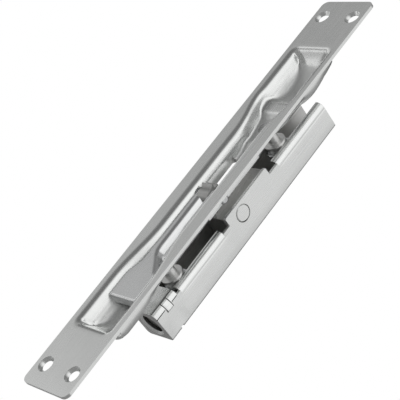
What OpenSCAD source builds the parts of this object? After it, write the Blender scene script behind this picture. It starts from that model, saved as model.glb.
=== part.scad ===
// Lever flush bolt for the edge of a door leaf.
// Z runs along the face plate, Y goes into the door, the face looks along -Y.
// The origin is the centre of the screw pattern on the back of the face plate.

/* [Face plate] */
// Length of the face plate
plate_l = 220; // [216:1:240]
// Width of the face plate
plate_w = 30; // [29:0.5:34]
// Thickness of the pressed sheet
sheet_t = 1.5; // [1.4:0.05:1.6]
// Corner radius of the face plate
plate_r = 3; // [1:0.5:5]
// Screw spacing along the plate
screw_l = 200; // [196:1:208]
// Screw spacing across the plate
screw_w = 18; // [16:0.5:20]
// Diameter of the screw holes
screw_d = 5; // [4:0.1:5.2]
// Depth of the countersinks
csk_depth = 1.2; // [0.8:0.1:1.2]

/* [Pan] */
// Inner width of the narrow channel
channel_w = 14.4; // [14.4:0.1:15]
// Inner width of the finger pockets
pocket_w = 22; // [20:0.5:23]
// Depth of the channel floor behind the seating plane
channel_y = 6.8; // [6.8:0.05:7]
// Length of the window in the channel floor
window_l = 35; // [34:1:38]
// Width of the window in the channel floor
window_w = 11.5; // [11.45:0.05:11.6]

/* [Lever] */
// Distance from the axle to the tip
lever_l = 58.3; // [54:0.1:60]
// Width of the finger tip
tip_w = 15.6; // [13:0.1:16]
// Width of the shank
shank_w = 9.4; // [9.2:0.1:9.6]
// Diameter of the lever axle
axle_d = 4; // [3.8:0.1:4.2]

/* [Drive] */
// Travel of the slide from one lever position to the other
stroke = 15; // [14.8:0.05:15.1]
// Swing of the lever
lever_angle = 172; // [171:0.5:176]

/* [Slide] */
// Outer width of the rail
rail_w = 16; // [15.8:0.1:16.2]
// Upper end of the rail
rail_top = 63; // [58:1:66]
// Lower end of the rail, where the rod screws in
rail_bottom = -59.8; // [-62:0.1:-58]
// Diameter of the flush rivet that holds the rack
rack_rivet_d = 8; // [7:0.1:8]
// Core diameter of the rod thread, M12 coarse
thread_d = 10.2; // [10:0.1:10.4]

/* [Hidden] */
$fn = 48;
e = 0.01;
zinc = "#b9bcbc";
axle_y = 4.25;                 // depth of the lever axle
axle_z = -4;                   // place of the lever axle along the plate
pitch_r = stroke * 180 / (PI * lever_angle);
teeth = 12;                    // teeth in a full turn of the toothed hub
pitch = 2 * PI * pitch_r / teeth;
tip_r = pitch_r + 0.78;        // tip radius of the teeth
root_r = pitch_r - 0.98;       // root radius of the teeth
rack_y = axle_y + pitch_r;     // pitch plane of the rack
stud_lo = -39;
stud_hi = 37;
rail_front = 14.5;             // front of the rail's lips
rail_back = 28.9;              // back of the rail
pan_end = 79.8;                // inner end of each finger pocket

// 2D in X and Z, made solid from depth y0 to y1
module slab(y0, y1) translate([0, y1, 0]) rotate([90, 0, 0]) linear_extrude(y1 - y0) children();
// 2D in Y (first) and Z (second), made solid from x0 to x1
module side(x0, x1) translate([x0, 0, 0]) rotate([90, 0, 90]) linear_extrude(x1 - x0) children();
// round bar along Y, at X and Z
module rod_y(x, z, y0, y1, r) translate([x, y1, z]) rotate([90, 0, 0]) cylinder(r = r, h = y1 - y0);
// round bar along X, at Y and Z
module rod_x(y, z, x0, x1, r) translate([x0, y, z]) rotate([0, 90, 0]) cylinder(r = r, h = x1 - x0);
module round_rect(w, l, r) {
  square([w - 2 * r, l], center = true);
  square([w, l - 2 * r], center = true);
  for (i = [-1, 1]) for (j = [-1, 1]) translate([i * (w / 2 - r), j * (l / 2 - r)]) circle(r = r);
}
function smooth(a, b, x) = let (u = min(1, max(0, (x - a) / (b - a)))) u * u * (3 - 2 * u);

// ---- pressed pan: plan outline and depth profile ----
// half width of the pan at height z, grown by g
function pan_hw(z, g) = let (a = abs(z), w = channel_w / 2 + (pocket_w - channel_w) / 2 * smooth(20, 51, a) + g,
    r = 5 + g, s = a - (pan_end - 5))
  s <= 0 ? w : w - r + sqrt(max(0, r * r - s * s));
function plan_z(g) = concat([for (i = [-12:12]) i * 6],
  [for (i = [1:8]) pan_end - 5 + (5 + g) * sin(i * 90 / 8)]);
function plan_pts(g) = let (zs = concat([for (i = [8:-1:1]) -(pan_end - 5 + (5 + g) * sin(i * 90 / 8))], plan_z(g)))
  concat([for (z = zs) [pan_hw(z, g), z]], [for (i = [len(zs) - 1:-1:0]) [-pan_hw(zs[i], g), zs[i]]]);
// depth profile in Y and Z for z >= 0, shifted by g
function prof_half(g) = concat(
  [[channel_y + g, 0], [channel_y + g, 22 + g * 0.2], [5.4 + g, 27 + g * 0.2], [5.4 + g, 43 + g * 0.3],
   [3.9 + g, 46 + g * 0.3], [3.9 + g, 51 - g * 0.5], [6.9 + g, 55.5 - g * 0.5], [7.7 + g, 60 - g * 0.2], [7.7 + g, 66]],
  [for (i = [1:12]) [-sheet_t + (9.2 + g) * cos(i * 7.5), 66 + (13.8 + g) * sin(i * 7.5)]]);
function prof_pts(g) = let (h = prof_half(g), n = len(h))
  concat([for (i = [n - 1:-1:0]) [h[i][0], -h[i][1]]], [for (i = [1:n - 1]) h[i]],
         [[-sheet_t - 2, pan_end + g], [-sheet_t - 2, -pan_end - g]]);
module pan_solid(g, y0) intersection() {
  slab(y0, 12) polygon(plan_pts(g));
  side(-20, 20) polygon(prof_pts(g));
}

module face_plate() color(zinc) difference() {
  union() {
    slab(-sheet_t, 0) round_rect(plate_w, plate_l, plate_r);
    pan_solid(sheet_t, -sheet_t / 2);
  }
  pan_solid(0, -sheet_t - 1);
  // window in the channel floor for the toothed hub
  slab(channel_y - 1, channel_y + 3) translate([0, 19 - window_l / 2]) round_rect(window_w, window_l, 2);
  // countersunk screw holes
  for (i = [-1, 1]) for (j = [-1, 1]) translate([i * screw_w / 2, 0, j * screw_l / 2]) {
    rod_y(0, 0, -sheet_t - 1, 1, screw_d / 2);
    translate([0, csk_depth - sheet_t, 0]) rotate([90, 0, 0])
      cylinder(r1 = screw_d / 2, r2 = screw_d / 2 + csk_depth + 0.01, h = csk_depth + 0.01);
  }
  // axle bores in the side walls of the channel
  rod_x(axle_y, axle_z, -12, 12, axle_d / 2 + 0.02);
  // holes for the guide studs
  for (z = [stud_lo, stud_hi]) rod_y(0, z, 4, 9, 2.02);
}

// plate spot-welded inside the channel wall, it doubles the axle's bearing
module bearing_plate(s) color(zinc) difference() {
  side(s > 0 ? channel_w / 2 - 1.4 : -channel_w / 2, s > 0 ? channel_w / 2 : -channel_w / 2 + 1.4)
    difference() {
      polygon([[6.7, -14], [3, -14], [1.4, -12.4], [1, -11], [1, 16.4], [1.3, 17.9], [2.2, 19.3], [5.4, 22.2], [6.7, 22.2]]);
      translate([axle_y, axle_z]) circle(r = axle_d / 2 + 0.02);
    }
}
module bearing_plate_near() bearing_plate(1);
module bearing_plate_far() bearing_plate(-1);

// fixed axle with a formed head at each end
module lever_axle() color("#c4c6c6") {
  rod_x(axle_y, axle_z, -channel_w / 2 - sheet_t - 0.5, channel_w / 2 + sheet_t + 0.5, axle_d / 2);
  for (s = [-1, 1]) translate([s * (channel_w / 2 + sheet_t + 0.02), axle_y, axle_z]) rotate([0, s * 90, 0])
    rotate_extrude() polygon([[0, 0], [2.2, 0], [2.2, 0.5], [2, 0.85], [1.4, 1.12], [0, 1.2]]);
}
// spring washer between an ear of the lever and its bearing plate
module spring_washer(s) color("#8f9292") difference() {
  rod_x(axle_y, axle_z, s > 0 ? 4.8 : -5.7, s > 0 ? 5.7 : -4.8, 3.6);
  rod_x(axle_y, axle_z, -7, 7, axle_d / 2 + 0.06);
}
module spring_washer_near() spring_washer(1);
module spring_washer_far() spring_washer(-1);

// shoulder studs that carry the slide
module guide_stud(z) color(zinc) {
  rod_y(0, z, 4.95, 5.4, 3.4);          // head clinched flat on the channel floor
  rod_y(0, z, 5.2, 18.2, 2);            // shank
  translate([0, 18.2, z]) rotate([-90, 0, 0])
    rotate_extrude() polygon([[0, 0], [2.8, 0], [2.6, 0.5], [1.6, 0.9], [0, 1]]);
}
module guide_stud_lower() guide_stud(stud_lo);
module guide_stud_upper() guide_stud(stud_hi);
// sleeves with a collar, they run between the rail's lips
module guide_sleeve(z) color("#c4c6c6") difference() {
  union() {
    rod_y(0, z, 6.92, 14.3, 2.85);
    rod_y(0, z, 13.1, 14.1, 5);
    rod_y(0, z, 14, 16.3, 4.1);
  }
  rod_y(0, z, 6, 17, 2.03);
}
module guide_sleeve_lower() guide_sleeve(stud_lo);
module guide_sleeve_upper() guide_sleeve(stud_hi);
// thin friction washers inside the rail, they keep the slide where it is put
module friction_washer(z) color("#8f9292") difference() {
  rod_y(0, z, 16.32, 16.8, 5.2);
  rod_y(0, z, 15, 20, 2.03);
}
module friction_washer_lower() friction_washer(stud_lo);
module friction_washer_upper() friction_washer(stud_hi);
// steel washers that hold the rail by its lips
module retaining_washer(z) color("#a9acac") difference() {
  rod_y(0, z, 16.82, 18.18, 5.9);
  rod_y(0, z, 15, 20, 2.03);
}
module retaining_washer_lower() retaining_washer(stud_lo);
module retaining_washer_upper() retaining_washer(stud_hi);

// ---- lever ----
lever_y = 1.2;                 // depth of the lever's top
// half width of the lever's flat, at a distance d from the axle
function lever_hw(d) = let (tip = tip_w / 2, r = 2.5, s = d - (lever_l - r))
  (s > 0 ? -r + sqrt(max(0, r * r - s * s)) : 0)
  + shank_w / 2 + (tip - shank_w / 2) * smooth(31, 43, d);
lever_d = concat([5.4, 14, 24, 31, 33, 35, 37, 39, 41, 43, 48, lever_l - 2.5], [for (i = [1:5]) lever_l - 2.5 + 2.5 * sin(i * 18)]);
lever_plan = concat([for (d = lever_d) [lever_hw(d), axle_z - d]],
                    [for (i = [len(lever_d) - 1:-1:0]) [-lever_hw(lever_d[i]), axle_z - lever_d[i]]]);
module ear_2d() difference() {
  union() {
    translate([axle_y, axle_z]) circle(r = 4.9);
    polygon([[lever_y, axle_z], [lever_y, axle_z - 26], [lever_y + 1.5, axle_z - 26], [5.6, axle_z - 16], [6.4, axle_z - 6], [axle_y + 4.5, axle_z - 1.9], [axle_y, axle_z]]);
  }
  translate([axle_y, axle_z]) square([5.44, 5.44], center = true);
}
module lever() color(zinc) {
  difference() {
    union() {
      slab(lever_y, lever_y + 1.5) polygon(lever_plan);
      // lip bent down at the tip
      slab(lever_y, lever_y + 4.2) intersection() {
        polygon(lever_plan);
        translate([-20, axle_z - lever_l]) square([40, 1.5]);
      }
      // ears that hold the toothed hub
      for (s = [-1, 1]) side(s > 0 ? shank_w / 2 - 1.4 : -shank_w / 2, s > 0 ? shank_w / 2 : -shank_w / 2 + 1.4) ear_2d();
      // bottom of the trough between the ears
      side(-3.4, 3.4) polygon([[lever_y, axle_z - 41], [lever_y + 1.6, axle_z - 41], [4.4, axle_z - 24], [6.1, axle_z - 15], [6.1, axle_z - 7.2], [lever_y, axle_z - 7.2]]);
    }
    // the trough's inside
    side(-2.3, 2.3) polygon([[lever_y - 1, axle_z - 39.5], [lever_y, axle_z - 39], [3.0, axle_z - 24], [4.7, axle_z - 15], [4.7, axle_z - 5], [lever_y - 1, axle_z - 5]]);
    // room for the toothed hub
    rod_x(axle_y, axle_z, -3.35, 3.35, tip_r + 0.4);
  }
}

// ---- toothed hub: six teeth of a twelve-tooth wheel ----
// half angle of a tooth at radius r
function tooth_half(r) = let (ra = 12.2, rp = pitch_r) ra / 2 + (rp - r) * 5.6;
module tooth_2d(a) rotate(a) polygon([
  for (r = [root_r - 0.5, root_r + 0.1, pitch_r - 0.4, pitch_r, pitch_r + 0.4, tip_r]) r * [cos(tooth_half(r)), sin(tooth_half(r))],
  for (r = [tip_r, pitch_r + 0.4, pitch_r, pitch_r - 0.4, root_r + 0.1, root_r - 0.5]) r * [cos(tooth_half(r)), -sin(tooth_half(r))]]);
module drive_pinion() color("#9fa2a2") {
  difference() {
    union() {
      side(-3.2, 3.2) translate([axle_y, axle_z]) {
        circle(r = root_r);
        for (k = [0:5]) tooth_2d(k * 30);
      }
      // square bosses that key the hub to the lever's ears
      side(-4.68, 4.68) translate([axle_y, axle_z]) square([5.4, 5.4], center = true);
    }
    rod_x(axle_y, axle_z, -8, 8, axle_d / 2 + 0.05);
  }
}

// ---- slide ----
socket_front = 13.3;            // front of the rolled socket
socket_y = (socket_front + rail_back) / 2;
function arc(cx, cy, r, a0, a1, n) = [for (i = [0:n]) [cx + r * cos(a0 + (a1 - a0) * i / n), cy + r * sin(a0 + (a1 - a0) * i / n)]];
// C section with rounded lips
module rail_c() {
  w = rail_w / 2;
  difference() {
    polygon(concat(arc(w - 1.2, rail_back - 1.2, 1.2, 0, 90, 4), arc(-w + 1.2, rail_back - 1.2, 1.2, 90, 180, 4),
                   arc(-w + 3, rail_front + 3, 3, 180, 270, 8), arc(w - 3, rail_front + 3, 3, 270, 360, 8)));
    polygon(concat([[w - 1.5, rail_back - 1.5], [-w + 1.5, rail_back - 1.5]],
                   arc(-w + 3, rail_front + 3, 1.5, 180, 270, 6), arc(w - 3, rail_front + 3, 1.5, 270, 360, 6)));
    translate([-4.5, rail_front - 1]) square([9, 5]);
  }
}
// U section with plain side walls up to y0
module rail_u(y0) {
  w = rail_w / 2;
  difference() {
    polygon(concat(arc(w - 1.2, rail_back - 1.2, 1.2, 0, 90, 4), arc(-w + 1.2, rail_back - 1.2, 1.2, 90, 180, 4), [[-w, y0], [w, y0]]));
    translate([-w + 1.5, y0 - 1]) square([rail_w - 3, rail_back - 1.5 - y0 + 1]);
  }
}
// rolled socket that the rod screws into
module socket_2d() {
  w = rail_w / 2;
  polygon(concat(arc(w - 1.2, rail_back - 1.2, 1.2, 0, 90, 4), arc(-w + 1.6, rail_back - 2, 2, 90, 180, 4),
                 arc(-w + 6.1, 19.5, 6.5, 180, 270, 8), arc(w - 3.1, 16.1, 3.1, 270, 360, 6)));
}
module slide_rail() color("#c9cccc") difference() {
  union() {
    translate([0, 0, -43.8]) linear_extrude(30.7) rail_c();
    translate([0, 0, 27.2]) linear_extrude(rail_top - 27.2) rail_c();
    translate([0, 0, -8.5]) linear_extrude(29.6) rail_u(12);
    translate([0, 0, -46.5]) linear_extrude(2.8) rail_u(15.9);
    translate([0, 0, -13.2]) linear_extrude(4.8) rail_u(15.9);
    translate([0, 0, 21]) linear_extrude(6.3) rail_u(15.9);
    translate([0, 0, rail_bottom]) linear_extrude(-46 - rail_bottom) socket_2d();
  }
  // threaded bore
  translate([0, socket_y, rail_bottom - 1]) cylinder(r = thread_d / 2, h = 20);
  // seam on the near wall, with the locking tongue
  translate([rail_w / 2 - 1, 15.8, rail_bottom - 1]) cube([2, 0.25, 7.4]);
  translate([rail_w / 2 - 1, 15.8, -50.6]) cube([2, 0.25, 4.6]);
  for (z = [-53.4, -50.85]) translate([rail_w / 2 - 1, 15.8, z]) cube([2, 2, 0.25]);
  translate([rail_w / 2 - 1, 17.8, -53.4]) cube([2, 0.25, 2.8]);
  // bend relief in the back edge
  translate([rail_w / 2 - 1.6, rail_back - 1.3, -53.4]) cube([3, 3, 1.7]);
  // rivet holes
  rod_x(17.3, 0, -10, 10, rack_rivet_d / 2 + 0.01);
}

rack_lo = -8.8;
rack_hi = 20.3;
module rack_teeth_2d() {
  tip = rack_y - 0.75;
  root = rack_y + 0.98;
  hw = pitch / 4 - 0.09;               // half width of a tooth at the pitch plane
  t20 = 0.40;
  difference() {
    polygon([[tip, rack_lo + 1.3], [tip, axle_z + 6 * pitch + 2.6], [13, rack_hi - 3], [13, rack_lo]]);
    for (k = [-1:7]) translate([0, axle_z + k * pitch])
      polygon([[root, -(pitch / 2 - hw - t20 * 0.98)], [root, pitch / 2 - hw - t20 * 0.98],
               [tip - 0.5, pitch / 2 - hw + t20 * 1.25], [tip - 0.5, -(pitch / 2 - hw + t20 * 1.25)]]);
  }
}
module rack() color("#8d9090") difference() {
  union() {
    side(-3, 3) rack_teeth_2d();
    translate([-6.45, 12.3, rack_lo]) cube([12.9, 10.2, rack_hi - rack_lo]);
  }
  rod_x(17.3, 0, -10, 10, rack_rivet_d / 2 + 0.01);
}
module rack_rivet() color("#c4c6c6") rod_x(17.3, 0, -rail_w / 2, rail_w / 2, rack_rivet_d / 2);

face_plate();
bearing_plate_near();
bearing_plate_far();
lever_axle();
spring_washer_near();
spring_washer_far();
guide_stud_lower();
guide_stud_upper();
guide_sleeve_lower();
guide_sleeve_upper();
friction_washer_lower();
friction_washer_upper();
retaining_washer_lower();
retaining_washer_upper();
lever();
drive_pinion();
slide_rail();
rack();
rack_rivet();
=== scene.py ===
import bpy
import bmesh
import math
import numpy as np
from mathutils import Matrix, Vector


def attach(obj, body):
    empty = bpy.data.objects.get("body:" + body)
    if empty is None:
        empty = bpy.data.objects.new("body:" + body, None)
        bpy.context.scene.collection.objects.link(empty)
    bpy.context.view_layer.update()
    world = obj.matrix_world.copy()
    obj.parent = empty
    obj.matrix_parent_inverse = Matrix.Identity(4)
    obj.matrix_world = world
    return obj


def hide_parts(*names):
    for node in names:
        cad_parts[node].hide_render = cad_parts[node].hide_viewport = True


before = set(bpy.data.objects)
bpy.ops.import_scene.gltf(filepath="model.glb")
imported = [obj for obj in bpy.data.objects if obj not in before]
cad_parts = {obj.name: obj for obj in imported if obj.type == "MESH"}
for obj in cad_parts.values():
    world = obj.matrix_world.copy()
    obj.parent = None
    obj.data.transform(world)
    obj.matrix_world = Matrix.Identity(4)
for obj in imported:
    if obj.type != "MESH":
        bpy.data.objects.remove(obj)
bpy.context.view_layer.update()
MM = 0.001
PI = math.pi

# ------------------------------------------------------------------ camera
cam_data = bpy.data.cameras.new("camera")
cam = bpy.data.objects.new("camera", cam_data)
bpy.context.scene.collection.objects.link(cam)
bpy.context.scene.camera = cam
cam_data.sensor_width = 36.0
cam_data.lens = 112.987
cam_data.clip_start, cam_data.clip_end = 0.01, 20
R = Vector((0.64400693, 0.50624978, 0.57355579)).normalized()
F = Vector((-0.75572395, 0.53751134, 0.37411611)).normalized()
U = R.cross(F).normalized()
cam.matrix_world = Matrix((
    (R.x, U.x, -F.x, 0.39045948), (R.y, U.y, -F.y, -0.27618085),
    (R.z, U.z, -F.z, -0.20171439), (0, 0, 0, 1)))

# ------------------------------------------------------------------ helpers
def obj_from(name, verts, faces, body, replaces=(), mat=None, smooth=None):
    """verts in millimetres"""
    me = bpy.data.meshes.new(name)
    me.from_pydata([tuple(c * MM for c in v) for v in verts], [], faces)
    me.validate()
    me.update()
    ob = bpy.data.objects.new(name, me)
    bpy.context.scene.collection.objects.link(ob)
    if mat:
        me.materials.append(mat)
    if smooth is not None:
        shade(ob, smooth)
    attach(ob, body)
    if replaces:
        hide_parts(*replaces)
    return ob


def shade(ob, deg):
    for p in ob.data.polygons:
        p.use_smooth = True
    ob.data.set_sharp_from_angle(angle=math.radians(deg))


# ------------------------------------------------------------------ materials
def steel(name, color, rough, grain=0.0, spot=0.0, bump=0.05, metal=1.0, along="z", deep=None):
    m = bpy.data.materials.new(name)
    m.use_nodes = True
    nt = m.node_tree
    nt.nodes.clear()
    out = nt.nodes.new("ShaderNodeOutputMaterial")
    b = nt.nodes.new("ShaderNodeBsdfPrincipled")
    nt.links.new(b.outputs["BSDF"], out.inputs["Surface"])
    b.inputs["Metallic"].default_value = metal
    tc = nt.nodes.new("ShaderNodeTexCoord")
    # cloudy passivation tint
    n1 = nt.nodes.new("ShaderNodeTexNoise")
    n1.inputs["Scale"].default_value = 60
    n1.inputs["Detail"].default_value = 5
    n1.inputs["Roughness"].default_value = 0.6
    nt.links.new(tc.outputs["Object"], n1.inputs["Vector"])
    cr = nt.nodes.new("ShaderNodeValToRGB")
    nt.links.new(n1.outputs["Fac"], cr.inputs["Fac"])
    c = color
    k = 1 - spot
    cr.color_ramp.elements[0].position = 0.3
    cr.color_ramp.elements[0].color = (c[0] * k, c[1] * k, c[2] * k, 1)
    cr.color_ramp.elements[1].position = 0.7
    cr.color_ramp.elements[1].color = (min(1, c[0] * (2 - k)), min(1, c[1] * (2 - k)), min(1, c[2] * (2 - k)), 1)
    nt.links.new(cr.outputs["Color"], b.inputs["Base Color"])
    # rolled sheet grain, stretched along the plate
    mp = nt.nodes.new("ShaderNodeMapping")
    mp.inputs["Scale"].default_value = (900, 900, 40) if along == "z" else (900, 900, 900)
    nt.links.new(tc.outputs["Object"], mp.inputs["Vector"])
    n2 = nt.nodes.new("ShaderNodeTexNoise")
    n2.inputs["Scale"].default_value = 1.0
    n2.inputs["Detail"].default_value = 3
    nt.links.new(mp.outputs["Vector"], n2.inputs["Vector"])
    n3 = nt.nodes.new("ShaderNodeTexNoise")
    n3.inputs["Scale"].default_value = 1400
    n3.inputs["Detail"].default_value = 2
    nt.links.new(tc.outputs["Object"], n3.inputs["Vector"])
    mr = nt.nodes.new("ShaderNodeMapRange")
    mr.inputs["From Min"].default_value = 0.3
    mr.inputs["From Max"].default_value = 0.7
    mr.inputs["To Min"].default_value = rough - grain
    mr.inputs["To Max"].default_value = rough + grain
    nt.links.new(n2.outputs["Fac"], mr.inputs["Value"])
    rg = mr.outputs["Result"]
    if deep:
        # drawn metal at the bottom of the pan is coarser
        sp = nt.nodes.new("ShaderNodeSeparateXYZ")
        nt.links.new(tc.outputs["Object"], sp.inputs[0])
        dr = nt.nodes.new("ShaderNodeMapRange")
        dr.interpolation_type = "SMOOTHSTEP"
        dr.inputs["From Min"].default_value, dr.inputs["From Max"].default_value = deep[0] * MM, deep[1] * MM
        dr.inputs["To Min"].default_value, dr.inputs["To Max"].default_value = 0.0, deep[2]
        nt.links.new(sp.outputs["Y"], dr.inputs["Value"])
        sm = nt.nodes.new("ShaderNodeMath")
        sm.operation = "ADD"
        nt.links.new(rg, sm.inputs[0])
        nt.links.new(dr.outputs["Result"], sm.inputs[1])
        rg = sm.outputs[0]
        dm = nt.nodes.new("ShaderNodeMapRange")
        dm.interpolation_type = "SMOOTHSTEP"
        dm.inputs["From Min"].default_value, dm.inputs["From Max"].default_value = deep[0] * MM, deep[1] * MM
        dm.inputs["To Min"].default_value, dm.inputs["To Max"].default_value = metal, 0.9
        nt.links.new(sp.outputs["Y"], dm.inputs["Value"])
        nt.links.new(dm.outputs["Result"], b.inputs["Metallic"])
    nt.links.new(rg, b.inputs["Roughness"])
    ad = nt.nodes.new("ShaderNodeMath")
    ad.operation = "ADD"
    nt.links.new(n2.outputs["Fac"], ad.inputs[0])
    nt.links.new(n3.outputs["Fac"], ad.inputs[1])
    bp = nt.nodes.new("ShaderNodeBump")
    bp.inputs["Strength"].default_value = bump
    bp.inputs["Distance"].default_value = 0.0001
    nt.links.new(ad.outputs[0], bp.inputs["Height"])
    nt.links.new(bp.outputs["Normal"], b.inputs["Normal"])
    return m


M_PLATE = steel("zinc_plate", (0.90, 0.91, 0.90), 0.25, 0.04, 0.03, 0.05, deep=(3.4, 6.2, 0.25))
M_LEVER = steel("zinc_lever", (0.90, 0.91, 0.91), 0.25, 0.04, 0.03, 0.05)
M_RAIL = steel("zinc_rail", (0.90, 0.91, 0.90), 0.27, 0.04, 0.03, 0.05)
M_PIN = steel("zinc_pin", (0.72, 0.73, 0.73), 0.22, 0.04, 0.04, 0.06, along="all")
M_SPRING = steel("spring", (0.42, 0.43, 0.43), 0.30, 0.05, 0.06, 0.06, along="all")
# sintered steel's darker tone; on the pinion it also stands for the shade seen through the window: painted shade
M_SINTERED_AND_SHADE = steel("sintered_and_painted_shade", (0.52, 0.52, 0.51), 0.40, 0.06, 0.08, 0.25, along="all")
M_SLEEVE = steel("sleeve", (0.82, 0.82, 0.81), 0.34, 0.05, 0.02, 0.05, metal=0.85, along="all")
# darker steel for the rail's inside faces: painted shade
M_INNER_PAINTED_SHADE = steel("inner", (0.66, 0.66, 0.65), 0.42, 0.04, 0.06, 0.05)
M_EDGE = steel("sheared_edge", (0.60, 0.60, 0.59), 0.36, 0.05, 0.05, 0.08, along="all")
# very dark steel in the bore's thread; on the seam and tongue slot walls the same colour is painted shade in the gaps
M_THREAD_AND_GAP_SHADE = steel("thread", (0.30, 0.30, 0.29), 0.35, 0.04, 0.04, 0.05, along="all")

MATS = {"face_plate": M_PLATE, "bearing_plate_near": M_PLATE, "bearing_plate_far": M_PLATE,
        "lever_axle": M_PIN, "spring_washer_near": M_SPRING, "spring_washer_far": M_SPRING,
        "guide_stud_lower": M_PIN, "guide_stud_upper": M_PIN,
        "guide_sleeve_lower": M_SLEEVE, "guide_sleeve_upper": M_SLEEVE,
        "friction_washer_lower": M_SPRING, "friction_washer_upper": M_SPRING,
        "retaining_washer_lower": M_PIN, "retaining_washer_upper": M_PIN,
        "lever": M_LEVER, "drive_pinion": M_SINTERED_AND_SHADE, "slide_rail": M_RAIL, "rack": M_SINTERED_AND_SHADE, "rack_rivet": M_PIN}
for n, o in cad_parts.items():
    o.data.materials.clear()
    o.data.materials.append(MATS[n])

# ------------------------------------------------------------------ shapes, millimetres
def smooth(a, b, x):
    u = np.clip((x - a) / (b - a), 0, 1)
    return u * u * (3 - 2 * u)


def lin(x, xs, ys):
    return np.interp(x, xs, ys)


def soft_lin(x, xs, ys, s):
    """piecewise line with its corners rounded over +-s"""
    k = np.linspace(-1, 1, 13)
    w = 1 - k * k
    acc = sum(wi * np.interp(np.abs(x) + ki * s, xs, ys) for ki, wi in zip(k, w))
    return acc / w.sum()


def mesh_normals(V, quads):
    N = np.zeros_like(V)
    Q = np.array(quads)
    e1 = V[Q[:, 2]] - V[Q[:, 0]]
    e2 = V[Q[:, 3]] - V[Q[:, 1]]
    n = np.cross(e1, e2)
    for k in range(4):
        np.add.at(N, Q[:, k], n)
    L = np.linalg.norm(N, axis=1, keepdims=True)
    return N / np.maximum(L, 1e-12)


def boundary_loops(quads):
    seen = {}
    for q in quads:
        m = len(q)
        for i in range(m):
            seen[(q[i], q[(i + 1) % m])] = 1
    nxt = {}
    for (a, b) in seen:
        if (b, a) not in seen:
            nxt[a] = b
    loops = []
    while nxt:
        s0 = next(iter(nxt))
        loop = [s0]
        c = nxt.pop(s0)
        while c != s0:
            loop.append(c)
            c = nxt.pop(c)
        loops.append(loop)
    return loops


def shell(name, V, quads, t, body, mat, replaces=(), edge=0.25, deg=35, thick=None, back=None):
    """closes a sheet of quads, outward normals on the side of V, to a solid of thickness t behind it, its edges rounded"""
    V = np.array(V, float)
    N = mesh_normals(V, quads)
    tt = np.full(len(V), t) if thick is None else thick
    B = V - N * tt[:, None] if back is None else back
    n = len(V)
    verts = [tuple(p) for p in V] + [tuple(p) for p in B]
    faces = [tuple(q) for q in quads] + [tuple(i + n for i in reversed(q)) for q in quads]
    for loop in boundary_loops(quads):
        m = len(loop)
        # outward direction in the sheet at each edge point
        P = V[loop]
        T = np.roll(P, -1, axis=0) - np.roll(P, 1, axis=0)
        O = np.cross(T, N[loop])
        O /= np.maximum(np.linalg.norm(O, axis=1, keepdims=True), 1e-12)
        rings = [loop]
        for f in (0.12, 0.32, 0.68, 0.88):
            out = math.sqrt(max(0.0, 1 - ((f if f < 0.5 else 1 - f) / 0.32 - 1) ** 2)) if min(f, 1 - f) < 0.32 else 1.0
            base = len(verts)
            for k, i in enumerate(loop):
                p = V[i] * (1 - f) + B[i] * f + O[k] * edge * out
                verts.append(tuple(p))
            rings.append(list(range(base, base + m)))
        rings.append([i + n for i in loop])
        for r0, r1 in zip(rings[:-1], rings[1:]):
            for k in range(m):
                k2 = (k + 1) % m
                faces.append((r0[k2], r0[k], r1[k], r1[k2]))
    return obj_from(name, verts, faces, body, replaces, mat, deg)


def cut(ob, cutters, op="DIFFERENCE"):
    for c in cutters:
        md = ob.modifiers.new("cut", "BOOLEAN")
        md.operation = op
        md.solver = "EXACT"
        md.object = c
    bpy.context.view_layer.update()
    dg = bpy.context.evaluated_depsgraph_get()
    me = bpy.data.meshes.new_from_object(ob.evaluated_get(dg))
    ob.modifiers.clear()
    old = ob.data
    ob.data = me
    bpy.data.meshes.remove(old)
    for c in cutters:
        d = c.data
        bpy.data.objects.remove(c)
        bpy.data.meshes.remove(d)


def raw(name, verts, faces):
    me = bpy.data.meshes.new(name)
    me.from_pydata([tuple(c * MM for c in v) for v in verts], [], faces)
    me.update()
    bm = bmesh.new()
    bm.from_mesh(me)
    bmesh.ops.recalc_face_normals(bm, faces=bm.faces)
    bm.to_mesh(me)
    bm.free()
    ob = bpy.data.objects.new(name, me)
    bpy.context.scene.collection.objects.link(ob)
    return ob


def prism(name, pts, axis, a0, a1):
    """closed outline pts in the two other axes, in order (x, y), (y, z) or (x, z), from a0 to a1 along axis"""
    def place(p, a):
        return {"x": (a, p[0], p[1]), "y": (p[0], a, p[1]), "z": (p[0], p[1], a)}[axis]
    n = len(pts)
    verts = [place(p, a0) for p in pts] + [place(p, a1) for p in pts]
    faces = [tuple(range(n)), tuple(range(2 * n - 1, n - 1, -1))]
    faces += [(i, (i + 1) % n, n + (i + 1) % n, n + i) for i in range(n)]
    return raw(name, verts, faces)


def turned(name, prof, centre, axis, n=64):
    """solid of revolution: prof is (radius, along) with radius 0 at both ends"""
    verts, faces = [], []
    rows = []
    for r, a in prof:
        if r < 1e-6:
            rows.append([len(verts)])
            pts = [(0.0, 0.0, a)]
        else:
            rows.append(list(range(len(verts), len(verts) + n)))
            pts = [(r * math.cos(2 * PI * i / n), r * math.sin(2 * PI * i / n), a) for i in range(n)]
        for u, v, a_ in pts:
            verts.append({"x": (a_ + centre[0], u + centre[1], v + centre[2]),
                          "y": (v + centre[0], a_ + centre[1], u + centre[2]),
                          "z": (u + centre[0], v + centre[1], a_ + centre[2])}[axis])
    for r0, r1 in zip(rows[:-1], rows[1:]):
        for i in range(n):
            j = (i + 1) % n
            if len(r0) == 1 and len(r1) == 1:
                continue
            if len(r0) == 1:
                faces.append((r0[0], r1[j], r1[i]))
            elif len(r1) == 1:
                faces.append((r0[i], r0[j], r1[0]))
            else:
                faces.append((r0[i], r0[j], r1[j], r1[i]))
    return raw(name, verts, faces)


def adopt(ob, body, mat, replaces=(), deg=35):
    ob.data.materials.clear()
    ob.data.materials.append(mat)
    shade(ob, deg)
    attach(ob, body)
    if replaces:
        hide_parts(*replaces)
    return ob


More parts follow.
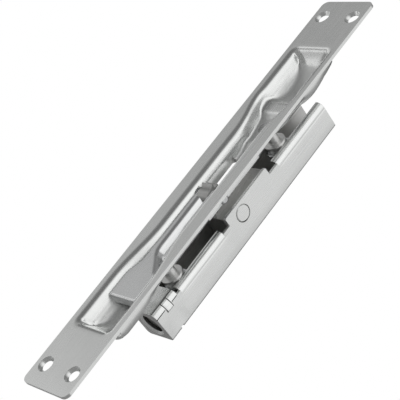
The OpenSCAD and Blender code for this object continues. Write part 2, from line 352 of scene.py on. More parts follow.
# ---- face plate: flat plate and pressed pan in one sheet
T = 1.5
FACE = -1.5
BEND = 3.8          # front radius of the rim's bend
RIM_END = 81.6      # where the rim's bend starts at each end
RIM_R = 5.0         # plan radius of the rim's corners
FLOOR_Z = [0, 22.4, 27.2, 42.6, 45.6, 51.2, 55.2, 59.0, 62.5, 90]
FLOOR_Y = [6.8, 6.8, 5.4, 5.4, 3.9, 3.9, 6.7, 7.6, 7.8, 7.8]


def rim_w(z):
    return 9.1 + 3.9 * np.where(np.asarray(z) < 0, smooth(26, 55, -np.asarray(z)), smooth(30, 51, np.asarray(z)))


def floor_h(z):
    """depth of the floor; the upper pocket rises like a bowl towards its end"""
    return soft_lin(z, FLOOR_Z, FLOOR_Y, 1.6) - FACE - np.maximum(0, np.asarray(z) - 61.0) ** 2 / 80


def corner_r(z):
    return 1.9 + 2.4 * smooth(40, 56, np.abs(z))


A_STEEP, A_END = math.radians(88), math.radians(52)


def side_shape(z, outer):
    """wall angle, where it steepens, the lower angle, depth, corner radius"""
    az = abs(z)
    D, rc = float(floor_h(z)), float(corner_r(z))
    if outer:
        return A_STEEP, 99.0, A_STEEP, D, rc
    k = float(smooth(28, 47, az))
    up = float(smooth(26, 34, z) * (1 - smooth(50, 56, z)))      # the flipped lever's tip lies here
    A = math.radians(66 - 2 * k + 6 * up)
    return A, 4.05 + 5.15 * k, A_STEEP + (A - A_STEEP) * float(smooth(30, 47, az)), D, rc


def bend_at(z):
    """the rim's bend is tighter where the flipped lever's tip lies"""
    return BEND - 0.65 * float(smooth(26, 34, z) * (1 - smooth(50, 56, z)))


def bend_r(A, D, rc, b0=BEND):
    """the rim's bend and the bottom corner, both smaller where the pan is shallow"""
    q = min(1.0, 0.97 * D / ((b0 + rc) * (1 - math.cos(A))))
    return b0 * q, rc * q


def wall_points(A, ts, A2, D, rc, b0=BEND):
    b, rc = bend_r(max(A, A2), D, rc, b0)
    t1, h1 = b * math.sin(A), b * (1 - math.cos(A))
    hs = h1 + (ts - t1) * math.tan(A)
    h2 = D - rc * (1 - math.cos(A2))
    if hs < h2:
        t2 = ts + (h2 - hs) / math.tan(A2)
    else:
        A2 = A2 if abs(A2 - A) < 1e-6 else A
        h2 = D - rc * (1 - math.cos(A2))
        ts = t2 = t1 + (h2 - h1) / math.tan(A)
        hs = h2
    return t1, h1, ts, hs, t2, h2, A2, t2 + rc * math.sin(A2)


def depth_of(t, A, ts, A2, D, rc, b0=BEND):
    if t <= 0:
        return 0.0
    t1, h1, ts, hs, t2, h2, A2, t3 = wall_points(A, ts, A2, D, rc, b0)
    b, rc = bend_r(max(A, A2), D, rc, b0)
    if t < t1:
        return b - math.sqrt(max(0.0, b * b - t * t))
    if t < ts:
        return h1 + (t - t1) * math.tan(A)
    if t < t2:
        return hs + (t - ts) * math.tan(A2)
    if t < t3:
        q = t3 - t
        return D - rc + math.sqrt(max(0.0, rc * rc - q * q))
    return D


def pan_h(x, z, outer=False):
    """depth of the pan behind the face"""
    ax, az = abs(x), abs(z)
    W = float(rim_w(z))
    qx, qz = ax - (W - RIM_R), az - (RIM_END - RIM_R)
    if qx > 0 and qz > 0:
        t = RIM_R - math.hypot(qx, qz)
    else:
        k = 2.5
        hh = max(0.0, min(1.0, 0.5 + 0.5 * (qx - qz) / k))
        m = qz + (qx - qz) * hh + k * hh * (1 - hh) * (1 if max(qx, qz) < -1.5 else max(0, -max(qx, qz) / 1.5))
        t = RIM_R - m
    e = float(smooth(-4, 4, qz - qx))
    A, ts, A2, D, rc = side_shape(z, outer)
    h = depth_of(t, A, ts, A2, D, rc, bend_at(z)) if e < 0.9999 else 0.0
    if e < 1e-4:
        return h
    return (1 - e) * h + e * depth_of(t, A_END, 99.0, A_END, 9.3, 18.0 if z > 0 else 13.0)


def t_list(z, outer=False, tmax=4.95):
    A, ts, A2, D, rc = side_shape(z, outer)
    t1, h1, ts, hs, t2, h2, A2, t3 = wall_points(A, ts, A2, D, rc, bend_at(z))
    b, rc = bend_r(max(A, A2), D, rc, bend_at(z))
    out = [b * math.sin(A * k / 10) for k in range(11)]
    out += [t1 + (ts - t1) * k / 4 for k in range(1, 5)]
    out += [ts + (t2 - ts) * k / 3 for k in range(1, 4)]
    end = min(t3 + 0.05, tmax)
    if end < t2:
        end = t2
    a_end = math.asin(min(1.0, max(0.0, (t3 - end) / rc)))
    for k in range(1, 9):
        a = A2 + (a_end - A2) * k / 8
        out.append(t3 - rc * math.sin(a))
    # bounded by the corner's radius, always rising
    for k in range(len(out)):
        out[k] = min(out[k], tmax - 0.01 * (len(out) - 1 - k)) if out[k] > tmax - 0.3 else out[k]
    for k in range(1, len(out)):
        out[k] = max(out[k], out[k - 1] + 0.001)
    return out


def build_face_plate():
    M = 22
    zs = [0.0]
    z = 0.0
    while z < RIM_END - RIM_R - 1e-6:
        step = 2.0 if z < 18 else 0.9 if z < 58 else 1.2 if z < 68 else 0.8
        z = min(z + step, RIM_END - RIM_R)
        if RIM_END - RIM_R - z < 0.3:
            z = RIM_END - RIM_R
        zs.append(z)
    zs = [-v for v in zs[:0:-1]] + zs
    NC = 12
    # right side from bottom to top: corner, side, corner
    outline = []      # (kind, data)
    for k in range(NC):
        outline.append(("c", -90 + 90 * k / NC, -1))
    for z in zs:
        outline.append(("s", z, 0))
    for k in range(1, NC + 1):
        outline.append(("c", 90 * k / NC, 1))
    NR = len(outline)

    def place(o, t, sx):
        kind, v, e = o
        if kind == "s":
            return sx * (float(rim_w(v)) - t), v
        W = float(rim_w(RIM_END))
        a = math.radians(v)
        return sx * (W - RIM_R + (RIM_R - t) * math.cos(a)), e * (RIM_END - RIM_R) + (RIM_R - t) * math.sin(a)

    K = len(t_list(0))
    side = False
    # outer plate outline matched to the rim's points
    PW, PL, PR = 15.0, 110.0, 3.0

    def outer(i):
        kind, v, e = outline[i]
        if kind == "s":
            return PW, v
        # the corner's points run round the end of the plate
        k = i if e < 0 else NR - 1 - i      # 0 at the end's edge
        f = k / NC
        path = [(7.9, PL)] + [(PW - PR - 0.0001, PL)] + [(PW - PR + PR * math.sin(math.radians(a)), PL - PR + PR * math.cos(math.radians(a))) for a in (15, 30, 45, 60, 75, 90)] + [(PW, 101.0), (PW, 93.0), (PW, 86.0), (PW, 80.0), (PW, RIM_END - RIM_R + 0.8)]
        p = path[min(int(round(f * (len(path) - 1))), len(path) - 1)]
        return p[0], e * p[1]

    V = []

    def add(x, y, z):
        V.append((x, y, z))
        return len(V) - 1

    def end_x(j):
        return 1 - 2 * j / M

    def make_ring(pos_side, pos_end, yfun):
        ids = []
        for i in range(NR):
            x, z = pos_side(i, 1)
            ids.append(add(x, yfun(x, z), z))
        for j in range(1, M):
            x, z = pos_end(j, 1)
            ids.append(add(x, yfun(x, z), z))
        for i in range(NR - 1, -1, -1):
            x, z = pos_side(i, -1)
            ids.append(add(x, yfun(x, z), z))
        for j in range(M - 1, 0, -1):
            x, z = pos_end(j, -1)
            ids.append(add(x, yfun(x, z), z))
        return ids

    def make(flag):
        nonlocal V, side
        V, side = [], flag
        rings = []
        flat = lambda x, z: FACE
        # plate from its outline in to the rim
        for f in (0.0, 0.02, 0.5, 0.97):
            def ps(i, sx, f=f):
                xo, zo = outer(i)
                xi, zi = place(outline[i], 0, 1)
                return sx * (xo + (xi - xo) * f), zo + (zi - zo) * f

            def pe(j, e, f=f):
                W = float(rim_w(RIM_END))
                xi = (W - RIM_R) * end_x(j)
                xo = 7.9 * end_x(j)
                return xo + (xi - xo) * f, e * (PL + (RIM_END - PL) * f)
            rings.append(make_ring(ps, pe, flat))
        for k in range(K):
            def ps(i, sx, k=k):
                o = outline[i]
                t = t_list(o[1] if o[0] == "s" else 81, side)[k]
                return place(o, t, sx)

            def pe(j, e, k=k):
                W = float(rim_w(RIM_END))
                t = t_list(81, side)[k]
                return (W - RIM_R) * end_x(j), e * (RIM_END - t)
            rings.append(make_ring(ps, pe, lambda x, z: FACE + pan_h(x, z, side)))
        quads = []
        for r0, r1 in zip(rings[:-1], rings[1:]):
            n = len(r0)
            for i in range(n):
                j = (i + 1) % n
                quads.append((r0[i], r0[j], r1[j], r1[i]))
        # floor rows
        last = rings[-1]
        right = last[:NR]
        top = last[NR:NR + M - 1]
        left = last[NR + M - 1:2 * NR + M - 1][::-1]
        bottom = last[2 * NR + M - 1:][::-1]
        rows = []
        for i in range(NR):
            if i == 0:
                rows.append([right[0]] + bottom + [left[0]])
                continue
            if i == NR - 1:
                rows.append([right[i]] + top + [left[i]])
                continue
            a, b = V[right[i]], V[left[i]]
            row = [right[i]]
            for j in range(1, M):
                x = a[0] + (b[0] - a[0]) * j / M
                z = a[2]
                row.append(add(x, FACE + pan_h(x, z, side), z))
            row.append(left[i])
            rows.append(row)
        for r0, r1 in zip(rows[:-1], rows[1:]):
            for j in range(M):
                quads.append((r0[j], r1[j], r1[j + 1], r0[j + 1]))
        return np.array(V), quads, rings

    V2, quads, rings = make(True)
    V1, quads, rings = make(False)
    V = V1
    N = mesh_normals(V, quads)
    if N[rings[0][0]][1] > 0:
        quads = [tuple(reversed(q)) for q in quads]
    N2 = mesh_normals(V2, quads)
    ob = shell("face_plate_sheet", V, quads, T, "mount_body", M_PLATE, ("face_plate",), edge=0.0,
               back=V2 - N2 * T)
    cutters = []
    # window
    pts = []
    for cx, cz, a0 in ((3.75, 17, 0), (-3.75, 17, 90), (-3.75, -14, 180), (3.75, -14, 270)):
        for k in range(9):
            a = math.radians(a0 + 90 * k / 8)
            pts.append((cx + 2 * math.cos(a), cz + 2 * math.sin(a)))
    cutters.append(prism("cut_window", pts, "y", 4.5, 12))
    for sx in (-1, 1):
        for sz in (-1, 1):
            cutters.append(turned("cut_screw", [(0, -4), (5.5 + 0.0, -4), (3.72 + 0.06, -1.53), (3.70, -1.47), (2.53, -0.30), (2.48, -0.22), (2.48, 3), (0, 3)],
                                  (9 * sx, 0, 100 * sz), "y", 72))
    for z in (-39, 33.5):
        cutters.append(turned("cut_stud", [(0, 3), (2.02, 3), (2.02, 12), (0, 12)], (0, 0, z), "y", 40))
    cutters.append(turned("cut_axle", [(0, -14), (2.02, -14), (2.02, 14), (0, 14)], (0, 4.25, -4), "x", 40))
    cut(ob, cutters)
    shade(ob, 32)
    return ob


plate = build_face_plate()

# ---- lever: pressed strip with a thumb tab, a trough in its neck and two ears round the axle
AX_Y, AX_Z = 4.25, -4.0
TIP_Z = -62.4
LIP_R, LIP_Y = 1.3, 5.4
TOP_TAB, TOP_NECK = 0.85, 1.0


def lever_top(z):
    return TOP_TAB + (TOP_NECK - TOP_TAB) * smooth(-50, -38, z)


def hw_far(z):
    return 4.65 + 0.15 * smooth(-26, -10, z) + 3.3 * smooth(42.5, 51, -z)


def hw_near(z):
    return 4.65 + 0.04 * smooth(-26, -10, z) + 3.3 * smooth(38.5, 51, -z)


def trough_depth(z):
    return float(np.interp(z, [-48.5, -47.5, -44.5, -41.5, -38.5, -34.4, -33, -20, -8], [0, 0.2, 1.3, 2.7, 3.72, 3.8, 4.1, 4.2, 4.2]))


def trough_far(z):
    return float(np.interp(z, [-49, -47.2, -43.0, -39.1, -36.5, -34, -10], [6.6, 5.2, 1.9, -1.3, -2.7, -3.1, -3.3]))


def drop(depth, r1, r2, amax, n1=9, n2=5, n3=5):
    """s-shaped fall: across and down, always with the same number of points"""
    am = min(amax, math.acos(max(-1.0, 1 - depth / (r1 + r2)))) if depth > 1e-6 else 0.0
    st = max(0.0, (depth - (r1 + r2) * (1 - math.cos(am))) / max(1e-6, math.sin(am))) if depth > 1e-6 else 0.0
    pts = [(r1 * math.sin(am * k / n1), r1 * (1 - math.cos(am * k / n1))) for k in range(n1 + 1)]
    x, y = pts[-1]
    for k in range(1, n2 + 1):
        pts.append((x + st * math.cos(am) * k / n2, y + st * math.sin(am) * k / n2))
    x, y = pts[-1]
    for k in range(1, n3 + 1):
        a = am * (1 - k / n3)
        pts.append((x + r2 * (math.sin(am) - math.sin(a)), y + r2 * (math.cos(a) - math.cos(am))))
    return pts


def build_lever():
    zs = list(np.arange(-7.2, -34.0, -0.9)) + list(np.arange(-34.0, -52.0, -0.45)) + list(np.arange(-52.0, TIP_Z + 1.3, -0.9))
    zs = [float(v) for v in zs]
    rows = []
    for z in zs:
        y0 = float(lever_top(z))
        D = trough_depth(z)
        Dn = D * float(smooth(-42.5, -38.6, z))
        xf, hf, hn = trough_far(z), float(hw_far(z)), float(hw_near(z))
        far = drop(D, 2.7, 0.6, math.radians(53))
        near = drop(Dn, 0.9, 0.6, math.radians(80))
        low = 0.95 * float(smooth(-43.5, -38.6, z))      # the near strip lies deeper
        row = []
        for k in range(6):
            row.append((-hf + (xf + hf) * k / 6, y0))
        row += [(xf + a, y0 + b) for a, b in far]
        xn = hn - 0.9 * float(smooth(-42.5, -38.6, z)) - 0.3
        xb0 = xf + far[-1][0]
        xb1 = max(xn - near[-1][0], xb0 + 0.05)
        for k in range(1, 4):
            row.append((xb0 + (xb1 - xb0) * k / 4, y0 + D))
        for a, b in near[::-1]:
            row.append((xn - a, y0 + D - Dn + b + low * (1 - b / max(Dn, 0.05)) if Dn > 0.05 else y0 + D - Dn + b))
        for k in range(1, 4):
            row.append((xn + (hn - xn) * k / 3, y0 + D - Dn + low))
        # neighbours must not cross
        for i in range(1, len(row)):
            if row[i][0] < row[i - 1][0] + 0.002:
                row[i] = (row[i - 1][0] + 0.002, row[i][1])
        rows.append([(x, y, z) for x, y in row])
    # lip, bent down at the tip, with rounded corners
    last = rows[-1]
    n = len(last)
    zb = last[0][2]
    R1 = 1.25
    prof = [(0.0, 0.0)] + [(0.05 + R1 * math.sin(math.radians(a)), R1 * (1 - math.cos(math.radians(a)))) for a in range(0, 91, 10)]
    prof += [(prof[-1][0], prof[-1][1] + 0.5 * k) for k in range(1, 7)]
    total = prof[-1][1]
    for dz, dy in prof[1:]:
        pull = 0.9 * float(smooth(1.2, total, dy)) ** 2
        rows.append([(x * (1 - pull * 0.12) - 0.0, y + dy, zb - dz) for x, y, z in last])
    V = [p for r in rows for p in r]
    quads = []
    for i in range(len(rows) - 1):
        for j in range(n - 1):
            a, b = i * n + j, i * n + j + 1
            c, d = (i + 1) * n + j + 1, (i + 1) * n + j
            quads.append((a, b, c, d))
    N = mesh_normals(np.array(V), quads)
    if N[3][1] > 0:
        quads = [tuple(reversed(q)) for q in quads]
    # the trough's underside clears the channel's floor and the stud's head
    front = np.array(V)
    back = front - mesh_normals(front, quads) * 1.4
    for f, b in zip(front, back):
        if b[2] > -45:
            b[1] = max(f[1] + 0.06, min(b[1], 4.91 if math.hypot(b[0], b[2] + 38) < 3.7 else 5.33))
    ob = shell("lever_strip", V, quads, 1.4, "lever_body", M_LEVER, ("lever",), edge=0.22, deg=40, back=back)
    # the lip's face, turned down into the pocket, gets a darker, rougher steel: painted shade
    lip_painted_shade = steel("zinc_lip_painted_shade", (0.78, 0.79, 0.79), 0.33, 0.05, 0.04, 0.06, along="all")
    ob.data.materials.append(lip_painted_shade)
    for f in ob.data.polygons:
        if f.normal.z < -0.75 and f.center.z / MM < TIP_Z + 0.6:
            f.material_index = 1
    return ob


EAR_R = 3.45


def build_ears():
    """two ears, outline in depth (y) and z"""
    out = []
    for s in (-1, 1):
        pts = []
        # front edge from the neck towards the axle
        for z in (-24, -20, -16, -12, -9.0, -7.6):
            pts.append((lever_top(z) + 0.05, z))
        # round end: from the front, over +z, to the back
        for a in range(170, -71, -10):
            t = math.radians(a)      # angle from +y (back) towards +z
            pts.append((AX_Y + EAR_R * math.cos(t), AX_Z + EAR_R * math.sin(t)))
        for y, z in ((7.2, -9.5), (6.3, -13), (5.0, -17), (3.6, -21), (2.4, -24)):
            pts.append((y, z))
        ob = prism("lever_ear", pts, "x", 3.3 if s > 0 else -4.7, 4.7 if s > 0 else -3.3)
        bm = bmesh.new()
        bm.from_mesh(ob.data)
        long_edges = [e for e in bm.edges if abs(e.verts[0].co.x - e.verts[1].co.x) < 1e-6]
        bmesh.ops.bevel(bm, geom=long_edges, offset=0.22 * MM, segments=3, profile=0.5, affect="EDGES")
        bm.to_mesh(ob.data)
        bm.free()
        cut(ob, [turned("cut_ear", [(0, -8), (2.55, -8), (2.55, 8), (0, 8)], (0, AX_Y, AX_Z), "x", 48)])
        adopt(ob, "lever_body", M_LEVER, ("lever",), 40)
        ob.name = "lever_ear_near" if s > 0 else "lever_ear_far"
        out.append(ob)
    return out


lever_strip = build_lever()
lever_ears = build_ears()

# ---- slide rail: C section sheet with cut-outs, and the rolled socket at its lower end
RW, RB, RF = 8.0, 28.9, 14.5
RAIL_LO, RAIL_HI = -59.8, 63.0


def soften(ob, offset, sel, seg=3):
    bm = bmesh.new()
    bm.from_mesh(ob.data)
    geom = [e for e in bm.edges if sel(e)]
    bmesh.ops.bevel(bm, geom=geom, offset=offset * MM, segments=seg, profile=0.5, affect="EDGES")
    bm.to_mesh(ob.data)
    bm.free()


def build_rail():
    zones = [(-46.5, -43.8, "cut"), (-43.8, -13.1, "lip"), (-13.1, -8.5, "cut"), (-8.5, 21.1, "tab"), (21.1, 27.2, "cut"), (27.2, 62.8, "lip")]
    base = [(RW, y) for y in (17.5, 17.75, 18.05, 18.35, 18.7, 21.0, 24.4, 27.7)]
    base += [(6.8 + 1.2 * math.cos(a), 27.7 + 1.2 * math.sin(a)) for a in [PI / 2 * k / 6 for k in range(1, 7)]]
    base += [(x, RB) for x in (4.5, 2.2)]
    full = base + [(0.0, RB)] + [(-x, y) for x, y in reversed(base)]
    nb = len(full)
    V, quads, rows = [], [], []

    def add(p):
        V.append(p)
        return len(V) - 1

    def stations(z0, z1, kind):
        n = max(2, int(math.ceil((z1 - z0) / 3.0)))
        zs = [z0 + (z1 - z0) * k / n for k in range(n + 1)]
        if kind == "tab":
            zs = sorted(set(zs) | {z0 + d for d in (0.06, 0.23, 0.5, 0.8)} | {z1 - d for d in (0.06, 0.23, 0.5, 0.8)})
        return zs

    prev_base = prev_up = None
    for z0, z1, kind in zones:
        zs = stations(z0, z1, kind)
        if kind == "lip":
            up = [(5 + 3 * math.cos(a), 17.5 - 3 * math.sin(a)) for a in [PI / 2 * k / 10 for k in range(1, 11)]]
            up += [(4.9, RF + 0.02), (4.7, RF + 0.05), (4.5, RF + 0.1)]
        for c, z in enumerate(zs):
            if c == 0 and prev_base is not None:
                col = prev_base
            else:
                dent = 0.09 if kind == "lip" else 0.0
                col = [add((x - math.copysign(dent * {17.5: 0.6, 17.75: 1.0, 18.05: 0.8, 18.35: 0.2}.get(y, 0), x), y, z)) for x, y in full]
            if prev_base is not None and col is not prev_base:
                for k in range(nb - 1):
                    quads.append((prev_base[k], prev_base[k + 1], col[k + 1], col[k]))
            if kind != "lip":
                ys = [17.5 + (15.95 - 17.5) * k / 3 for k in range(1, 4)]
                if kind == "tab":
                    d = min(z - z0, z1 - z)
                    top = 12.0 + (0.8 - math.sqrt(max(0.0, 0.64 - (0.8 - min(d, 0.8)) ** 2)))
                    ys += [15.95 + (top - 15.95) * k / 4 for k in range(1, 5)]
                up = [(RW, y) for y in ys]
            share = 3 if (c == 0 and prev_kind_straight(prev_up) and kind != "lip") else 0
            ups = []
            for sx in (1, -1):
                ids = []
                for k, (x, y) in enumerate(up):
                    if k < share:
                        ids.append(prev_up[1][0 if sx > 0 else 1][k])
                    else:
                        ids.append(add((sx * x, y, z)))
                ups.append(ids)
            if c > 0:
                for sd, sx in ((0, 1), (1, -1)):
                    a = [prev_base[0 if sx > 0 else nb - 1]] + prev_up[1][sd]
                    b = [col[0 if sx > 0 else nb - 1]] + ups[sd]
                    for k in range(min(len(a), len(b)) - 1):
                        q = (a[k + 1], a[k], b[k], b[k + 1])
                        quads.append(q if sx > 0 else tuple(reversed(q)))
            prev_base, prev_up = col, (kind, ups)
    N = mesh_normals(np.array(V), quads)
    if N[2][0] < 0:
        quads = [tuple(reversed(q)) for q in quads]
    return shell("slide_rail_sheet", V, quads, 1.5, "slide_body", M_RAIL, ("slide_rail",), edge=0.2, deg=40)


def prev_kind_straight(up):
    return up is not None and up[0] != "lip"


def build_socket():
    def arc(cx, cy, r, a0, a1, n):
        return [(cx + r * math.cos(math.radians(a0 + (a1 - a0) * i / n)), cy + r * math.sin(math.radians(a0 + (a1 - a0) * i / n))) for i in range(n + 1)]
    # a hair under the sheet, whose rounded end runs into it
    pts = arc(6.8, 27.7, 1.19, 0, 90, 6) + arc(-6.4, 26.9, 1.99, 90, 180, 8) + arc(-1.9, 19.5, 6.49, 180, 270, 16)
    pts += arc(4.9, 16.1, 3.09, 270, 360, 16)
    ob = prism("socket", pts, "z", RAIL_LO, -46.0)
    soften(ob, 0.22, lambda e: abs(e.verts[0].co.z - e.verts[1].co.z) < 1e-7 and e.verts[0].co.z < -50 * MM)
    # mouth and thread
    prof = [(0, -61), (6.0, -61), (6.0, -59.85), (5.0, -58.9)]
    z = -58.3
    while z < -46.2:
        prof += [(4.95, z - 0.12), (4.95, z + 0.12), (5.55, z + 0.75), (5.55, z + 1.0)]
        z += 1.75
    prof += [(5.2, -45.0), (0, -45.0)]
    cuts = [turned("bore", prof, (0, 21.1, 0), "z", 64)]
    cuts.append(prism("seam_a", [(7.3, 15.66), (8.5, 15.66), (8.5, 16.04), (7.3, 16.04)], "z", -60.5, -54.3))
    cuts.append(prism("seam_b", [(7.3, 15.66), (8.5, 15.66), (8.5, 16.04), (7.3, 16.04)], "z", -49.7, -45.5))
    cuts.append(prism("tongue_slot", [(5.9, 13.9), (6.6, 13.0), (8.7, 13.0), (8.7, 17.85), (7.3, 17.85), (6.9, 15.6)], "z", -53.98, -50.02))
    cuts.append(prism("relief", [(6.3, 27.5), (8.6, 27.5), (8.6, 29.5), (6.3, 29.5)], "z", -53.4, -51.7))
    cut(ob, cuts)
    adopt(ob, "slide_body", M_RAIL, ("slide_rail",), 30)
    ob.data.materials.append(M_THREAD_AND_GAP_SHADE)
    ob.data.materials.append(M_EDGE)
    # the bore is dark; the seams and the tongue slot's walls are painted dark as painted shade in the gaps
    for f in ob.data.polygons:
        c = f.center / MM
        if c.z > -58.95 and math.hypot(c.x, c.y - 21.1) < 5.7:
            f.material_index = 1
        elif 7.25 < c.x < 7.93 and 15.6 < c.y < 16.1 or (-54.0 < c.z < -50.0 and 5.9 < c.x < 7.93 and c.y < 17.9):
            f.material_index = 1
        elif f.normal.z < -0.8 and c.z < -59.5:
            f.material_index = 2
    ob.name = "rolled_socket"
    tongue = prism("socket_tongue", [(5.9, 14.0), (6.5, 13.35), (7.2, 14.05), (7.75, 15.0), (8.4, 17.3), (8.25, 17.65), (7.0, 17.8), (6.8, 15.6)], "z", -53.6, -50.4)
    soften(tongue, 0.1, lambda e: True, 2)
    adopt(tongue, "slide_body", M_RAIL, ("slide_rail",), 30)
    return ob, tongue


def inner(ob):
    """the inside faces of the rail get a darker, rougher steel: painted shade of the enclosed channel"""
    ob.data.materials.append(M_INNER_PAINTED_SHADE)
    for f in ob.data.polygons:
        c, n = f.center / MM, f.normal
        if abs(c.x) < 6.9 and (n.x * c.x < -0.3 * abs(c.x) or (n.y < -0.5 and c.y > 20)):
            f.material_index = 1


def build_rivet(rail):
    cut(rail, [turned("hole", [(0, -9), (3.95, -9), (3.95, 9), (0, 9)], (0, 17.3, 0.0), "x", 64)])
    shade(rail, 40)
    inner(rail)
    r = 3.68
    ob = turned("rivet", [(0, -7.92), (r - 0.3, -7.92), (r, -7.6), (r, 7.6), (r - 0.3, 7.92), (0, 7.92)], (0, 17.38, 0.14), "x", 64)
    adopt(ob, "slide_body", M_RAIL, ("rack_rivet",), 30)
    ob.name = "rack_rivet_flush"
    return ob


rail_sheet = build_rail()
build_socket()
build_rivet(rail_sheet)

# ------------------------------------------------------------------ stage
def area(name, loc, target, size, power, size_y=None):
    d = bpy.data.lights.new(name, "AREA")
    d.shape = "RECTANGLE"
    d.size, d.size_y = size, size_y or size
    d.energy = power
    o = bpy.data.objects.new(name, d)
    bpy.context.scene.collection.objects.link(o)
    o.location = loc
    o.rotation_mode = "QUATERNION"
    o.rotation_quaternion = (Vector(target) - Vector(loc)).to_track_quat("-Z", "Y")
    return o


floor_me = bpy.data.meshes.new("floor")
z0 = -0.42
floor_me.from_pydata([(-4, -4, z0), (4, -4, z0), (4, 4, z0), (-4, 4, z0)], [], [(0, 1, 2, 3)])
floor = bpy.data.objects.new("floor", floor_me)
bpy.context.scene.collection.objects.link(floor)
fm = bpy.data.materials.new("floor")
fm.use_nodes = True
fm.node_tree.nodes["Principled BSDF"].inputs["Base Color"].default_value = (0.62, 0.62, 0.62, 1)
fm.node_tree.nodes["Principled BSDF"].inputs["Roughness"].default_value = 0.8
# seen directly the floor is pale; what it throws back on the part is dimmer
ft = fm.node_tree
f_lp, f_em, f_ad, f_mx = (ft.nodes.new(k) for k in ("ShaderNodeLightPath", "ShaderNodeEmission", "ShaderNodeAddShader", "ShaderNodeMixShader"))
f_em.inputs["Color"].default_value = (1, 1, 1, 1)
f_em.inputs["Strength"].default_value = 0.48
f_bsdf, f_out = ft.nodes["Principled BSDF"], ft.nodes["Material Output"]
ft.links.new(f_bsdf.outputs[0], f_ad.inputs[0])
ft.links.new(f_em.outputs[0], f_ad.inputs[1])
ft.links.new(f_lp.outputs["Is Camera Ray"], f_mx.inputs[0])
ft.links.new(f_bsdf.outputs[0], f_mx.inputs[1])
ft.links.new(f_ad.outputs[0], f_mx.inputs[2])
ft.links.new(f_mx.outputs[0], f_out.inputs["Surface"])
floor_me.materials.append(fm)

# a lamp over the floor in front, its pool of light is what the upper pocket's end mirrors
sd = bpy.data.lights.new("pool", "SPOT")
sd.energy, sd.spot_size, sd.spot_blend, sd.shadow_soft_size = 26.0, math.radians(96), 1.0, 0.05
so = bpy.data.objects.new("pool", sd)
bpy.context.scene.collection.objects.link(so)
so.location = (-0.95, -0.62, 0.38)

world = bpy.data.worlds.new("world")
bpy.context.scene.world = world
world.use_nodes = True
wt = world.node_tree
wt.nodes.clear()


def wnode(kind, **kw):
    n = wt.nodes.new(kind)
    for k, v in kw.items():
        setattr(n, k, v)
    return n


def wmath(op, a, b=None, c=None, clamp=False):
    n = wnode("ShaderNodeMath", operation=op, use_clamp=clamp)
    for i, v in enumerate((a, b, c)):
        if v is None:
            continue
        if isinstance(v, (int, float)):
            n.inputs[i].default_value = v
        else:
            wt.links.new(v, n.inputs[i])
    return n.outputs[0]


def wdot(vec, d):
    n = wnode("ShaderNodeVectorMath", operation="DOT_PRODUCT")
    wt.links.new(vec, n.inputs[0])
    n.inputs[1].default_value = Vector(d).normalized()
    return n.outputs["Value"]


def wramp(val, a, b, lo, hi):
    n = wnode("ShaderNodeMapRange", interpolation_type="SMOOTHSTEP")
    wt.links.new(val, n.inputs["Value"])
    n.inputs["From Min"].default_value, n.inputs["From Max"].default_value = a, b
    n.inputs["To Min"].default_value, n.inputs["To Max"].default_value = lo, hi
    return n.outputs["Result"]


# a light tent round the object: azimuth from the front (0) towards +X (90), and its brightness there
TENT = [(-180, 0.14), (-148, 0.14), (-128, 0.50), (-110, 0.80), (-85, 0.72), (-68, 0.46), (-55, 0.415), (-45, 0.38), (-36, 0.25),
        (-24, 0.17), (-10, 0.15), (20, 0.15), (28, 0.32), (38, 0.92), (60, 1.0), (100, 0.95), (114, 0.86), (126, 0.68), (140, 0.55), (158, 0.22), (180, 0.14)]
# below the horizon in front, and a dark panel above on the far side, by sine of the height
LOW = [(-1.0, 0.50), (-0.70, 0.35), (-0.50, 0.22), (-0.24, 0.22), (-0.10, 0.75), (0.08, 0.85), (0.22, 0.45), (1.0, 0.45)]
w_dir = wnode("ShaderNodeTexCoord").outputs["Generated"]
w_sep = wnode("ShaderNodeSeparateXYZ")
wt.links.new(w_dir, w_sep.inputs[0])
az = wmath("ARCTAN2", w_sep.outputs["X"], wmath("MULTIPLY", w_sep.outputs["Y"], -1.0))
az = wmath("MULTIPLY_ADD", az, 1 / (2 * PI), 0.5)


def wtable(fac, points):
    n = wnode("ShaderNodeValToRGB")
    wt.links.new(fac, n.inputs["Fac"])
    els = n.color_ramp.elements
    while len(els) > 1:
        els.remove(els[-1])
    for k, (a, v) in enumerate(points):
        el = els[0] if k == 0 else els.new(a)
        el.position = a
        el.color = (v / 2, v / 2, v / 2, 1)
    return wmath("MULTIPLY", n.outputs["Color"], 2.0)


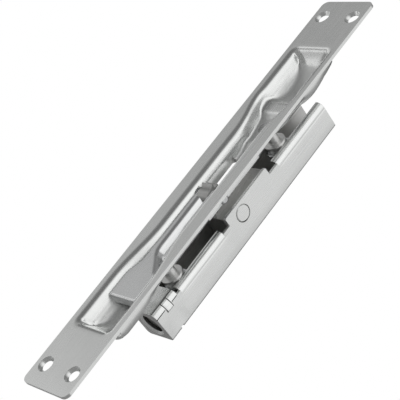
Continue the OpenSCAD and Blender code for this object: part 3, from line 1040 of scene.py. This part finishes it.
def wblend(w, a, b):
    n = wnode("ShaderNodeMix", data_type="FLOAT")
    wt.links.new(w, n.inputs[0])
    wt.links.new(a, n.inputs[2])
    if isinstance(b, (int, float)):
        n.inputs[3].default_value = b
    else:
        wt.links.new(b, n.inputs[3])
    return n.outputs[0]


def wband(val, a0, a1, b1, b0):
    return wmath("MULTIPLY", wramp(val, a0, a1, 0.0, 1.0), wramp(val, b1, b0, 1.0, 0.0))


turn = lambda a: (a + 180) / 360
w_z = w_sep.outputs["Z"]
ring = wtable(az, [(turn(a), v) for a, v in TENT])
low = wtable(wmath("MULTIPLY_ADD", w_z, 0.5, 0.5), [((a + 1) / 2, v) for a, v in LOW])
ring = wblend(wmath("MULTIPLY", wband(az, turn(-158), turn(-142), turn(-38), turn(-24)), wramp(w_z, 0.17, 0.30, 1.0, 0.0)), ring, low)
ring = wblend(wmath("MULTIPLY", wband(az, turn(-122), turn(-106), turn(-64), turn(-56)), wband(w_z, 0.42, 0.49, 0.70, 0.80)), ring, 0.16)
pole = wramp(wmath("ABSOLUTE", w_sep.outputs["Z"]), 0.70, 0.97, 0.0, 1.0)
w_p = wnode("ShaderNodeMix", data_type="FLOAT")
wt.links.new(pole, w_p.inputs[0])
wt.links.new(ring, w_p.inputs[2])
w_p.inputs[3].default_value = 0.22
tent = w_p.outputs[0]
lp = wnode("ShaderNodeLightPath").outputs["Is Camera Ray"]
w_bg1, w_bg2 = wnode("ShaderNodeBackground"), wnode("ShaderNodeBackground")
wt.links.new(tent, w_bg1.inputs["Strength"])
w_bg2.inputs["Strength"].default_value = 1.0
w_bg1.inputs["Color"].default_value = (1, 1, 1, 1)
w_bg2.inputs["Color"].default_value = (1, 1, 1, 1)
w_mix, w_out = wnode("ShaderNodeMixShader"), wnode("ShaderNodeOutputWorld")
wt.links.new(lp, w_mix.inputs[0])
wt.links.new(w_bg1.outputs[0], w_mix.inputs[1])
wt.links.new(w_bg2.outputs[0], w_mix.inputs[2])
wt.links.new(w_mix.outputs[0], w_out.inputs["Surface"])
bpy.context.scene.view_settings.view_transform = "Standard"
